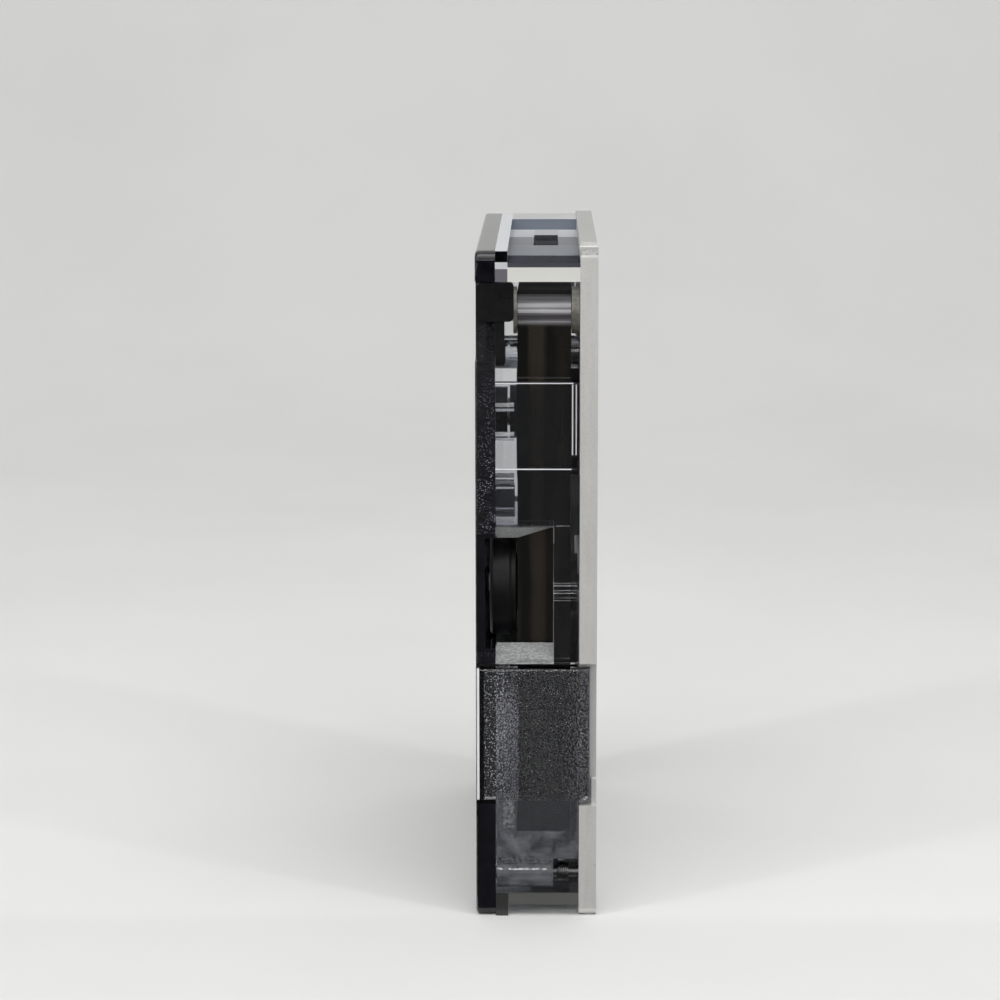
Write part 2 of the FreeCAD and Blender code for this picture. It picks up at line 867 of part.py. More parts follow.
def write_protect_slider():
    low = slider_top - slider_height
    left = cover_face + slider_inset
    y0 = front + slider_clearance
    body_back = slider_back - slider_clearance
    button = box(left, cover_face + slider_reach, y0, y0 + slider_button, low, slider_top)
    corners = [edge for edge in button.Edges if edge.Length < slider_button + tolerance and
               abs(edge.tangentAt(edge.FirstParameter).y) > 0.9]
    button = button.makeFillet(slider_corner, corners)
    body = box(left, left + slider_body_width, y0 + slider_button - overlap, body_back, low, slider_top)
    centre = left + slider_body_width / 2
    neck_end = slider_back + slider_neck_depth
    neck = box(centre - slider_neck / 2, centre + slider_neck / 2, body_back - overlap, neck_end + overlap,
               low, slider_top)
    head = box(centre - slider_head / 2, centre + slider_head / 2, neck_end, neck_end + slider_head_depth,
               low, slider_top)
    return button.multiFuse([body, neck, head]).removeSplitter()


def save(name, shape):
    if not shape.isValid():
        print("not valid:", name)
    shape.exportStep(os.path.join("parts", name + ".step"))


def main():
    os.makedirs("parts", exist_ok=True)
    save("base_plate", base_plate())
    save("cover", cover())
    save("cover_screws", cover_screws())
    save("door", door())
    save("door_pin", door_pin())
    save("door_spring", door_spring())
    save("drive_roller", drive_roller())
    save("drive_roller_pin", drive_roller_pin())
    save("drive_belt", drive_belt())
    save("tape_run", tape_run())
    save("mirror", mirror())
    save("write_protect_slider", write_protect_slider())
    ends = [
        ("lower", lower_reel_z, lower_corner_z, lower_guide_height, lower_pack_radius),
        ("upper", upper_reel_z, upper_corner_z, upper_guide_height, upper_pack_radius),
    ]
    for end, reel_z, corner_z, guide_z, pack_radius in ends:
        save("reel_hub_" + end, reel_hub(reel_z))
        save("hub_pin_" + end, hub_pin(reel_z))
        save("tape_pack_" + end, tape_pack(reel_z, pack_radius))
        save("tape_guide_" + end, tape_guide(guide_z))
        save("corner_roller_" + end, corner_roller(corner_z))
        save("corner_roller_pin_" + end, corner_roller_pin(corner_z))


main()
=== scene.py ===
import bmesh
import bpy
import json
import math
import random
from mathutils import Matrix, Vector

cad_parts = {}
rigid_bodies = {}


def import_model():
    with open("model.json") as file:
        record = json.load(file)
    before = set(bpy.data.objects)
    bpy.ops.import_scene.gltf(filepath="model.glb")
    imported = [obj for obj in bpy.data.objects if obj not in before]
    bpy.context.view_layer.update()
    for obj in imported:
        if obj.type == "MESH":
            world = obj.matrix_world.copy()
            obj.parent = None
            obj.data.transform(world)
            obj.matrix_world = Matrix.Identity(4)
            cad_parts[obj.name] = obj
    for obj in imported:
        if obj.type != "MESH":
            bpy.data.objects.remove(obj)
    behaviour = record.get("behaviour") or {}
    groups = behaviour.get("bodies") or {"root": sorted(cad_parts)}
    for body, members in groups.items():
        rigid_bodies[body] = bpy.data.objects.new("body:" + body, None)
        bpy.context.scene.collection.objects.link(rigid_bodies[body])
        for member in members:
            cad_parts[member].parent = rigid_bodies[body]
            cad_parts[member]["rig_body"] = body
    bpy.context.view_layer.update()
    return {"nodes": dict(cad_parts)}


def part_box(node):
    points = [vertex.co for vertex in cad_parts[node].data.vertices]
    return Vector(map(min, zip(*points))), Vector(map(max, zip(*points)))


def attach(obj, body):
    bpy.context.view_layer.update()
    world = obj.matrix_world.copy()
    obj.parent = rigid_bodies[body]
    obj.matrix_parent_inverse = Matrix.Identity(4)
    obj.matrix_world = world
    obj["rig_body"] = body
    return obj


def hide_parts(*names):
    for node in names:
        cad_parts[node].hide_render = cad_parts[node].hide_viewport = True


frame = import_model()
nodes = frame["nodes"]
print("frame loaded:", len(nodes), "nodes")

mm = 0.001
facingShare = 0.6                    # least share of a normal that counts as facing an axis


def newMaterial(name):
    mat = bpy.data.materials.new(name)
    mat.use_nodes = True
    shader = mat.node_tree.nodes["Principled BSDF"]
    return mat, shader


def addNode(mat, kind, **values):
    node = mat.node_tree.nodes.new(kind)
    for key, value in values.items():
        setattr(node, key, value)
    return node


def join(mat, source, target):
    mat.node_tree.links.new(source, target)


def feed(mat, socket, value):
    if isinstance(value, (int, float, tuple)):
        socket.default_value = value
    else:
        join(mat, value, socket)


def maths(mat, kind, *values):
    node = addNode(mat, "ShaderNodeMath", operation=kind)
    for i, value in enumerate(values):
        feed(mat, node.inputs[i], value)
    return node.outputs[0]


def objectCoords(mat, stretch=(1, 1, 1)):
    coords = addNode(mat, "ShaderNodeTexCoord")
    mapping = addNode(mat, "ShaderNodeMapping")
    mapping.inputs["Scale"].default_value = stretch
    join(mat, coords.outputs["Object"], mapping.inputs["Vector"])
    return mapping.outputs["Vector"]


def noise(mat, scale, stretch=(1, 1, 1), detail=4.0, rough=0.55):
    tex = addNode(mat, "ShaderNodeTexNoise")
    tex.inputs["Scale"].default_value = scale
    tex.inputs["Detail"].default_value = detail
    tex.inputs["Roughness"].default_value = rough
    join(mat, objectCoords(mat, stretch), tex.inputs["Vector"])
    return tex.outputs["Fac"]


def cells(mat, scale, feature="SMOOTH_F1"):
    tex = addNode(mat, "ShaderNodeTexVoronoi", feature=feature)
    tex.inputs["Scale"].default_value = scale
    join(mat, objectCoords(mat), tex.inputs["Vector"])
    return tex.outputs["Distance"]


def ramp(mat, source, *stops):
    node = addNode(mat, "ShaderNodeValToRGB")
    first, last = node.color_ramp.elements
    first.position, first.color = stops[0][0], (*stops[0][1], 1)
    last.position, last.color = stops[-1][0], (*stops[-1][1], 1)
    for spot, colour in stops[1:-1]:
        node.color_ramp.elements.new(spot).color = (*colour, 1)
    join(mat, source, node.inputs["Fac"])
    return node.outputs["Color"]


def toRange(mat, source, low, high, outLow, outHigh):
    node = addNode(mat, "ShaderNodeMapRange")
    for socket, value in (("From Min", low), ("From Max", high), ("To Min", outLow), ("To Max", outHigh)):
        node.inputs[socket].default_value = value
    join(mat, source, node.inputs["Value"])
    return node.outputs["Result"]


def mixColour(mat, factor, below, above):
    node = addNode(mat, "ShaderNodeMixRGB")
    feed(mat, node.inputs["Fac"], factor)
    feed(mat, node.inputs["Color1"], below)
    feed(mat, node.inputs["Color2"], above)
    return node.outputs["Color"]


def bump(mat, shader, height, distance, strength=1.0):
    node = addNode(mat, "ShaderNodeBump")
    node.inputs["Distance"].default_value = distance
    node.inputs["Strength"].default_value = strength
    join(mat, height, node.inputs["Height"])
    join(mat, node.outputs["Normal"], shader.inputs["Normal"])


def part(mat, output, axis):
    split = mat.node_tree.nodes.get("split" + output)
    if split is None:
        split = addNode(mat, "ShaderNodeSeparateXYZ", name="split" + output)
        coords = addNode(mat, "ShaderNodeTexCoord")
        join(mat, coords.outputs[output], split.inputs["Vector"])
    return split.outputs[axis]


def within(mat, axis, low, high):
    # 1 between two heights, depths or widths of the object, 0 elsewhere
    return maths(mat, "COMPARE", part(mat, "Object", axis), (low + high) / 2, (high - low) / 2)


def facing(mat, axis):
    # 1 on faces that look along the axis, either way
    return maths(mat, "GREATER_THAN", maths(mat, "ABSOLUTE", part(mat, "Normal", axis)), facingShare)


def notFacing(mat, axis):
    return maths(mat, "SUBTRACT", 1.0, facing(mat, axis))


def allOf(mat, *masks):
    result = masks[0]
    for mask in masks[1:]:
        result = maths(mat, "MULTIPLY", result, mask)
    return result


def mixValue(mat, factor, below, above):
    node = addNode(mat, "ShaderNodeMix", data_type="FLOAT")
    feed(mat, node.inputs[0], factor)
    feed(mat, node.inputs[2], below)
    feed(mat, node.inputs[3], above)
    return node.outputs[0]


def brokenEdges(mat):
    # 1 on the narrow bevels that roundedCopy cuts
    return addNode(mat, "ShaderNodeAttribute", attribute_name="edgeLine").outputs["Fac"]


def paint(mat, look, mask, **changes):
    # lays another colour, clearness, alpha or roughness over one zone of a moulding
    for key, value in changes.items():
        if key == "colour":
            look[key] = mixColour(mat, mask, look[key], (*value, 1))
        else:
            look[key] = mixValue(mat, mask, look[key], value)


def centreOf(node):
    return tuple((low + high) / 2 for low, high in zip(*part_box(node)))


def coolGrey(tone):
    return (tone, tone, tone * 1.03)


def connect(mat, shader, look):
    sockets = {"colour": "Base Color", "clear": "Transmission Weight", "alpha": "Alpha", "rough": "Roughness"}
    for key, value in look.items():
        join(mat, value, shader.inputs[sockets[key]])


def tintDepth(mat, setting):
    # the plastic's own tint, which grows with the path through it
    absorb = addNode(mat, "ShaderNodeVolumeAbsorption")
    absorb.inputs["Color"].default_value = (*setting["tint"], 1)
    absorb.inputs["Density"].default_value = setting["density"]
    join(mat, absorb.outputs["Volume"], mat.node_tree.nodes["Material Output"].inputs["Volume"])


coverLow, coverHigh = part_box("cover")
doorLow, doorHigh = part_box("door")
rollerLow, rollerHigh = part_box("drive_roller")
tapeLow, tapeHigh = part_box("tape_run")

coverSet = {
    "tint": (0.45, 0.48, 0.55),      # what a long path through the plastic tends to
    "density": 220.0,                # per metre
    "ior": 1.58,
    "panelWidth": 2.39 * mm,         # face panel, from the outer face
    "clearRough": 0.015,
    "smudgeRough": 0.03,
    "smudgeScale": 220,              # scales are features per metre
    "footTop": 14.0 * mm,            # polished lower end of the face panel
    "plainTop": 5.0 * mm,            # polished upper end of its front
    "roomRise": 0.8 * mm,            # polished past the drive roller, up and down
    "glintBand": (0.0478, 0.0560),    # heights between which the painted glints on the grain are densest
    "glintElsewhere": 0.35,
    "grainSize": 6000.0,             # cells per metre
    "grainDepth": 0.035 * mm,
    "grainRough": 0.08,
    "frostDepth": 0.3,               # share of the grain's depth
    "edgeDark": (0.0015, 0.0015, 0.0025),
    "edgeLight": (0.005, 0.005, 0.008),
    "edgeScale": 900,
    "tipCells": 4600.0,
    "tipSize": 0.24,                 # share of a cell that is painted pale as a glint
    "glintColour": (0.42, 0.42, 0.48),
    "patchScale": 420,
    "speckScale": 6500,
}

mouldSet = {
    "slack": 0.1 * mm,               # how far a zone reaches past its own faces
    "skin": 0.2 * mm,                # how deep a zone that covers one face only goes
    "stripEnd": 3.85 * mm,           # raised strip beside the guide groove
    "grooveDrop": 1.4 * mm,
    "grooveEnd": 12.3 * mm,          # groove stops this far from the rear
    "wall": 1.5 * mm,
    "roofBands": (                   # painted light and shade on the groove's floor: from, to (mm back from the middle), colour, clearness, alpha
        (6.5, 18.6, (0.86, 0.88, 0.91), 0.2, 0.62),
        (-5.5, 6.5, (0.62, 0.64, 0.66), 0.3, 0.45),
        (-20.5, -5.5, (0.50, 0.53, 0.56), 0.3, 0.55),
        (-30.9, -20.5, (0.060, 0.063, 0.078), 0.2, 0.22),
    ),
    "roofRough": 0.5,
    "beltSpan": (-6.0 * mm, 9.5 * mm),
    "endLip": 2.3 * mm,              # height of the wall's front end with its lip
    "bandDrop": 0.5 * mm,            # the painted dark band of shade along its top starts here
    "paleDrop": 0.7 * mm,            # and the painted pale light on the strip's front end here
    "faceDepth": 0.3 * mm,
    "faceMarks": (                   # painted highlight lines and painted shade: from, to along the width, low, high (mm), tone, clearness
        (2.4, 11.6, 65.08, 65.22, 0.80, 0.15),
        (2.4, 12.0, 65.45, 65.55, 0.55, 0.35),
        (2.4, 11.4, 54.83, 54.97, 0.85, 0.10),
        (11.45, 11.60, 56.6, 65.0, 0.75, 0.2),
        (11.88, 12.02, 56.6, 65.0, 0.75, 0.3),
        (11.3, 12.5, 47.0, 54.2, 0.012, 0.25),
        (11.3, 11.8, 44.0, 47.0, 0.012, 0.25),
    ),
    "footWall": 2.95 * mm,
    "legReach": 3.9 * mm,
    "bossReach": 1.15 * mm,
    "bossRadius": 3.3 * mm,
    "housingReach": 3.5 * mm,        # room behind the slider, from the outer face
    "housingDepth": (3 * mm, 9 * mm),
    "housingDrop": 10.6 * mm,
    "housingRise": 0.3 * mm,
    "pocketReach": 4.7 * mm,         # room round the mirror, from the outer face
    "pocketDepth": (1.2 * mm, 4.8 * mm),
    "pocketHeight": (-0.6 * mm, 3.2 * mm),
    "ribReach": 4.5 * mm,
    "ribDepth": (-2 * mm, -1 * mm),  # from the outside of the rear wall
    "ribSpan": (0.0200, 0.0375),
    "cutoutHalf": 8.0 * mm,
    "cutoutReach": 9.35 * mm,
    "rampReach": 1.9 * mm,
    "rampDepth": 2.2 * mm,
    "web": 0.65 * mm,
}

zoneLooks = {
    "edge": {"colour": (0.80, 0.82, 0.86), "clear": 0.35, "rough": 0.2},
    "boss": {"colour": (0.012, 0.012, 0.014), "clear": 0.05},
    "housingShade": {"colour": (0.003, 0.003, 0.004), "clear": 0.0, "rough": 0.3},
    "pocket": {"colour": (0.10, 0.105, 0.115), "clear": 0.25, "rough": 0.3},
    "overBelt": {"alpha": 0.05},
    "strip": {"colour": (0.66, 0.68, 0.71), "clear": 0.15, "rough": 0.3},
    "step": {"colour": (0.20, 0.23, 0.28), "clear": 0.2, "rough": 0.2},
    "wallEnd": {"colour": (0.72, 0.72, 0.67), "clear": 0.15, "rough": 0.35},
    "wallBand": {"colour": (0.050, 0.052, 0.068), "clear": 0.15, "rough": 0.35},
    "stripEndLow": {"colour": (0.14, 0.135, 0.155), "clear": 0.15, "rough": 0.35},
    "stripEndPale": {"colour": (0.60, 0.60, 0.63), "clear": 0.15, "rough": 0.35},
    "foot": {"colour": (0.13, 0.13, 0.12), "clear": 0.35, "rough": 0.45},
    "legShade": {"colour": (0.035, 0.035, 0.033)},
    "rib": {"colour": (0.003, 0.003, 0.004), "clear": 0.0, "rough": 0.5},
    "ramp": {"colour": (0.30, 0.31, 0.31), "clear": 0.55, "rough": 0.45},
    "speck": {"colour": (0.92, 0.92, 0.90), "clear": 0.2},
}


def innerZones(mat, look, mould, inside):
    # bosses round the hubs' pins and the slider's room painted near black, the mirror's pocket dark grey: painted
    # shade
    left, front = coverLow[0], coverLow[1]
    radius = mould["bossRadius"]
    for end in ("lower", "upper"):
        axisY, axisZ = centreOf("hub_pin_" + end)[1:]
        boss = allOf(mat, within(mat, "X", inside, inside + mould["bossReach"]),
                     within(mat, "Y", axisY - radius, axisY + radius),
                     within(mat, "Z", axisZ - radius, axisZ + radius))
        paint(mat, look, boss, **zoneLooks["boss"])
    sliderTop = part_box("write_protect_slider")[1][2]
    near, far = mould["housingDepth"]
    housingShade = allOf(mat, within(mat, "X", inside - mould["slack"], left + mould["housingReach"]),
                    within(mat, "Y", front + near, front + far),
                    within(mat, "Z", sliderTop - mould["housingDrop"], sliderTop + mould["housingRise"]))
    paint(mat, look, housingShade, **zoneLooks["housingShade"])
    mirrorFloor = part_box("mirror")[0][2]
    near, far = mould["pocketDepth"]
    low, high = mould["pocketHeight"]
    pocket = allOf(mat, within(mat, "X", inside, left + mould["pocketReach"]),
                   within(mat, "Y", front + near, front + far),
                   within(mat, "Z", mirrorFloor + low, mirrorFloor + high))
    paint(mat, look, pocket, **zoneLooks["pocket"])


def roofZones(mat, look, mould, inside):
    # the groove's floor, frosted and painted in bands of light and shade: pale beyond the belt, greyer before it,
    # dark at its front end
    top = coverHigh[2]
    strip = coverLow[0] + mould["stripEnd"]
    groove = top - mould["grooveDrop"]
    beside = within(mat, "X", strip, coverHigh[0] + mm)
    roof = allOf(mat, facing(mat, "Z"), beside,
                 within(mat, "Z", groove - mould["wall"] - mould["slack"], groove + mould["slack"]))
    for near, far, colour, clear, alpha in mould["roofBands"]:
        band = allOf(mat, roof, within(mat, "Y", near * mm, far * mm))
        paint(mat, look, band, colour=colour, clear=clear, alpha=alpha, rough=mould["roofRough"])
    beltLow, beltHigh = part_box("drive_belt")
    overBelt = allOf(mat, roof, within(mat, "Y", *mould["beltSpan"]), within(mat, "X", beltLow[0], beltHigh[0]))
    paint(mat, look, overBelt, **zoneLooks["overBelt"])
    # the tops of the raised strips are painted pale, a painted reflection
    stripReflection = allOf(mat, facing(mat, "Z"), within(mat, "X", inside, strip),
                   within(mat, "Z", top - mould["skin"], top + mm))
    paint(mat, look, stripReflection, **zoneLooks["strip"])
    stepY = coverHigh[1] - mould["grooveEnd"]
    step = allOf(mat, facing(mat, "Y"), beside, within(mat, "Y", stepY - mould["skin"], stepY + mould["skin"]),
                 within(mat, "Z", groove, top))
    paint(mat, look, step, **zoneLooks["step"])


def frontZones(mat, look, mould, inside):
    # front ends of the top wall painted in light and shade, painted highlight lines and painted shade on the clear
    # front wall, and its frosted foot, whose grey is painted light
    left, front, floor = coverLow
    right = coverHigh[0] + mm
    strip = left + mould["stripEnd"]
    groove = coverHigh[2] - mould["grooveDrop"]
    beside, ownStrip = within(mat, "X", strip, right), within(mat, "X", inside, strip)
    frontHalf = within(mat, "Y", front - mm, front + mould["rampDepth"])
    endLow, endTop = groove - mould["endLip"], groove + mould["slack"]
    bandLow, paleLow = groove - mould["bandDrop"], groove - mould["paleDrop"]
    # the top wall's front end is painted pale with a dark band along its top, and the strip's end dark then pale:
    # painted light and shade
    for zone, across, low, high in (("wallEnd", beside, endLow, bandLow), ("wallBand", beside, bandLow, endTop),
                                    ("stripEndLow", ownStrip, endLow, paleLow),
                                    ("stripEndPale", ownStrip, paleLow, endTop)):
        ends = allOf(mat, facing(mat, "Y"), across, frontHalf, within(mat, "Z", low, high))
        paint(mat, look, ends, **zoneLooks[zone])
    face = allOf(mat, facing(mat, "Y"), within(mat, "Y", front - mm, front + mould["faceDepth"]))
    # painted highlight lines and painted shade on the front wall's face
    for start, end, low, high, tone, clear in mould["faceMarks"]:
        mark = allOf(mat, face, within(mat, "X", left + start * mm, left + end * mm),
                     within(mat, "Z", low * mm, high * mm))
        paint(mat, look, mark, colour=coolGrey(tone), clear=clear)
    # the front wall's frosted foot is painted grey as painted light, and darker by the leg as painted shade
    foot = allOf(mat, facing(mat, "Y"), within(mat, "X", inside, right), frontHalf,
                 within(mat, "Z", floor - mm, floor + mould["footWall"]))
    paint(mat, look, foot, **zoneLooks["foot"])
    legShade = allOf(mat, foot, within(mat, "X", inside, left + mould["legReach"]))
    paint(mat, look, legShade, **zoneLooks["legShade"])


def hollowZones(mat, look, setting, mould, inside):
    left, front, rear = coverLow[0], coverLow[1], coverHigh[1]
    # the inside of the rear wall behind the drive roller's hollow is painted black, painted shade
    near, far = mould["ribDepth"]
    rib = allOf(mat, within(mat, "X", inside, left + mould["ribReach"]),
                within(mat, "Y", rear + near, rear + far), within(mat, "Z", *mould["ribSpan"]))
    paint(mat, look, rib, **zoneLooks["rib"])
    # frosted ramps above and below the cut-out
    middle = (rollerLow[2] + rollerHigh[2]) / 2
    half, reach = mould["cutoutHalf"], mould["rampReach"]
    span = within(mat, "X", inside, left + mould["cutoutReach"])
    frontHalf = within(mat, "Y", front - mm, front + mould["rampDepth"])
    spans = ((middle - half - mould["web"], middle - half + reach), (middle + half - reach, middle + half))
    for low, high in spans:
        ramps = allOf(mat, span, frontHalf, within(mat, "Z", low, high))
        paint(mat, look, ramps, **zoneLooks["ramp"])
        grain = noise(mat, setting["speckScale"], stretch=(0.4, 1, 1), detail=3)
        speck = toRange(mat, grain, 0.40, 0.62, 0.0, 0.5)
        paint(mat, look, allOf(mat, ramps, speck), **zoneLooks["speck"])


def smokePlastic(name, setting, mould):
    mat, shader = newMaterial(name)
    shader.inputs["IOR"].default_value = setting["ior"]
    left, floor, top = coverLow[0], coverLow[2], coverHigh[2]
    inside = left + setting["panelWidth"]
    smudge = toRange(mat, noise(mat, setting["smudgeScale"], detail=3), 0.35, 0.75,
                     setting["clearRough"], setting["smudgeRough"])
    look = {"colour": (1, 1, 1, 1), "clear": 1.0, "alpha": 1.0, "rough": smudge}
    panel = within(mat, "X", left - mm, inside)
    edge = allOf(mat, panel, notFacing(mat, "X"))
    roomLow, roomHigh = rollerLow[2] - setting["roomRise"], rollerHigh[2] + setting["roomRise"]
    plain = maths(mat, "MAXIMUM", within(mat, "Z", roomLow, roomHigh),
                  allOf(mat, facing(mat, "Y"), within(mat, "Z", top - setting["plainTop"], top + mm)))
    grained = allOf(mat, edge, within(mat, "Z", floor + setting["footTop"], top + mm),
                    maths(mat, "SUBTRACT", 1.0, plain))
    paint(mat, look, edge, clear=0.0)
    shade = ramp(mat, noise(mat, setting["edgeScale"], detail=3),
                 (0.35, setting["edgeDark"]), (0.65, setting["edgeLight"]))
    # pale specks on the grain's cells, densest in a band of heights and in patches, are painted glints
    tips = maths(mat, "LESS_THAN", cells(mat, setting["tipCells"], "F1"), setting["tipSize"])
    paintedLightShare = maths(mat, "MAXIMUM", within(mat, "Z", *setting["glintBand"]), setting["glintElsewhere"])
    patchy = toRange(mat, noise(mat, setting["patchScale"], detail=3), 0.40, 0.62, 0.0, 1.0)
    shade = mixColour(mat, allOf(mat, tips, patchy, grained, paintedLightShare), shade, (*setting["glintColour"], 1))
    look["colour"] = mixColour(mat, edge, look["colour"], shade)
    paint(mat, look, grained, rough=setting["grainRough"])
    # the broken edges outside the face panel are painted pale, painted highlights
    edgeHighlights = allOf(mat, brokenEdges(mat), maths(mat, "SUBTRACT", 1.0, panel))
    paint(mat, look, edgeHighlights, **zoneLooks["edge"])
    innerZones(mat, look, mould, inside)
    roofZones(mat, look, mould, inside)
    frontZones(mat, look, mould, inside)
    hollowZones(mat, look, setting, mould, inside)
    connect(mat, shader, look)
    frosted = maths(mat, "SUBTRACT", 1.0, maths(mat, "MAXIMUM", look["clear"], edge))
    pebble = maths(mat, "ADD", cells(mat, setting["grainSize"]), noise(mat, setting["grainSize"] * 1.3, detail=2))
    frost = maths(mat, "MULTIPLY", noise(mat, setting["grainSize"] * 1.6, detail=2),
                  maths(mat, "MULTIPLY", frosted, setting["frostDepth"]))
    bump(mat, shader, maths(mat, "ADD", maths(mat, "MULTIPLY", pebble, grained), frost), setting["grainDepth"])
    tintDepth(mat, setting)
    return mat


doorSet = {
    "tint": (0.10, 0.10, 0.25),
    "density": 560.0,
    "ior": 1.58,
    "smooth": 0.02,
    "grainSize": 4300.0,
    "grainDepth": 0.05 * mm,
    "grainFrom": 1.0 * mm,           # polished rim beside the outer edge
    "grainShade": (0.20, 0.20, 0.22),
    "leafHeight": 16.2 * mm,
    "backSmooth": 1.25 * mm,         # behind this depth the leaf is polished
    "sides": (3.7, 12.2, 13.5),      # painted glints out to the first width, and between the other two, mm
    "tipSize": 0.21,                 # share of a cell that is painted pale as a glint
    "patchScale": 260,
    "lowHeight": 10.6 * mm,
    "backlitClear": (0.74, 0.92),       # least and most clear below that height
    "backlitScale": 700,
    "lightMarks": (                       # painted highlights and painted shade: from, to along the width, low, high (mm), tone, clearness
        (2.3, 4.9, 10.6, 15.5, 0.42, 0.80),
        (3.3, 4.6, 11.0, 14.3, 0.72, 0.78),
        (12.15, 12.7, 10.6, 14.4, 0.60, 0.80),
        (2.2, 12.6, 6.65, 7.35, 0.015, 0.35),
        (2.0, 9.0, 5.35, 6.40, 0.33, 0.60),
        (2.0, 8.6, 5.75, 6.00, 0.90, 0.30),
        (1.0, 2.4, 14.45, 14.90, 0.85, 0.10),
        (12.9, 13.5, 14.45, 14.95, 0.85, 0.10),
    ),
    "markDepth": 4 * mm,
    "lightMarkScale": 3000,
    "rim": (0.12 * mm, 0.42 * mm),
    "highlightDepth": 0.45 * mm,
}

doorLooks = {
    "leaf": {"rough": 0.06, "clear": 0.93},
    "tips": {"colour": (0.62, 0.62, 0.68), "clear": 0.0},
    "arm": {"colour": (0.45, 0.46, 0.50), "clear": 0.93},
    "edge": {"colour": (0.80, 0.80, 0.82), "clear": 0.75, "rough": 0.2},
    "rim": {"colour": (0.80, 0.80, 0.82), "clear": 0.1, "rough": 0.15},
}


def grainedLeaf(name, setting):
    mat, shader = newMaterial(name)
    shader.inputs["IOR"].default_value = setting["ior"]
    left, depth, floor = doorLow
    right, top = doorHigh[0], doorHigh[2]
    leafLow = top - setting["leafHeight"]
    look = {"colour": (1, 1, 1, 1), "clear": 1.0, "rough": setting["smooth"]}
    front = allOf(mat, within(mat, "Y", depth - mm, depth + setting["backSmooth"]), facing(mat, "Y"),
                  within(mat, "X", left + setting["grainFrom"], right + mm), within(mat, "Z", leafLow, top + mm))
    paint(mat, look, front, **doorLooks["leaf"])
    pebbles = cells(mat, setting["grainSize"], "F1")
    # the grain's cells are tinted clear in their middles and darker at their rims: a grain pattern, and painted
    # light for the sparkle the grain refracts
    pits = ramp(mat, pebbles, (0.25, (1, 1, 1)), (0.62, setting["grainShade"]))
    look["colour"] = mixColour(mat, front, look["colour"], pits)
    # pale cells of the grain at both sides of the leaf are painted glints
    near, midway, far = (left + width * mm for width in setting["sides"])
    glinting = maths(mat, "MAXIMUM", within(mat, "X", left, near), within(mat, "X", midway, far))
    patchy = toRange(mat, noise(mat, setting["patchScale"], detail=3), 0.36, 0.60, 0.0, 1.0)
    tips = allOf(mat, front, glinting, patchy, maths(mat, "LESS_THAN", pebbles, setting["tipSize"]))
    paint(mat, look, tips, **doorLooks["tips"])
    # the arm is painted with a pale haze, more of it low down: painted light for what shines through from behind
    arm, low = within(mat, "Z", floor - mm, leafLow), within(mat, "Z", floor - mm, setting["lowHeight"])
    paint(mat, look, arm, **doorLooks["arm"])
    backlitHaze = toRange(mat, noise(mat, setting["backlitScale"], detail=4), 0.35, 0.65, *setting["backlitClear"])
    paint(mat, look, low, clear=backlitHaze)
    # painted highlights and painted shade, broken up by noise: pale where light shines through by the lower guide
    # and at the right edge, a shaded band and highlights on the hinge barrel, highlights at the leaf's lower
    # corners
    paintedLightShare = toRange(mat, noise(mat, setting["lightMarkScale"], stretch=(0.8, 1, 1), detail=3), 0.42, 0.60, 0.15, 0.95)
    for start, end, bottom, upper, tone, clear in setting["lightMarks"]:
        mark = allOf(mat, within(mat, "X", left + start * mm, left + end * mm), paintedLightShare,
                     within(mat, "Y", depth - mm, depth + setting["markDepth"]),
                     within(mat, "Z", bottom * mm, upper * mm))
        paint(mat, look, mark, colour=coolGrey(tone), clear=clear)
    # the broken edges are painted pale, painted highlights
    paint(mat, look, brokenEdges(mat), **doorLooks["edge"])
    # the outer edge is painted pale, a painted highlight line along it
    highlightFrom, highlightTo = setting["rim"]
    rim = allOf(mat, within(mat, "X", left + highlightFrom, left + highlightTo),
                within(mat, "Y", depth - mm, depth + setting["highlightDepth"]))
    paint(mat, look, rim, **doorLooks["rim"])
    connect(mat, shader, look)
    leather = maths(mat, "ADD", cells(mat, setting["grainSize"]), noise(mat, setting["grainSize"] * 0.9, detail=3))
    bump(mat, shader, maths(mat, "MULTIPLY", leather, front), setting["grainDepth"])
    tintDepth(mat, setting)
    return mat


plateSet = {
    "light": (0.70, 0.69, 0.665),
    "dark": (0.58, 0.57, 0.545),
    "fleck": (0.24, 0.23, 0.21),
    "fleckFrom": (0.775, 0.80),      # where in its noise a fleck starts and is full
    "rough": (0.56, 0.40),
    "metal": 0.45,
    "rolled": (1, 1, 0.12),          # the sheet was rolled along its long side
    "scales": (1100, 4200, 60),      # rolling lines, fine grain, cloudiness
    "shares": (0.4, 0.35, 0.25),
    "fleckScale": 1500,
    "depth": 0.02 * mm,
    "topTone": (0.46, 0.46, 0.44),
    "topDepth": 0.3 * mm,
    "cornerDrop": 0.8 * mm,
    "cornerReach": 1.7 * mm,
    "cornerTone": (0.36, 0.36, 0.35),
    "cornerRough": 0.85,
    "cornerPatchScale": 2400,
}


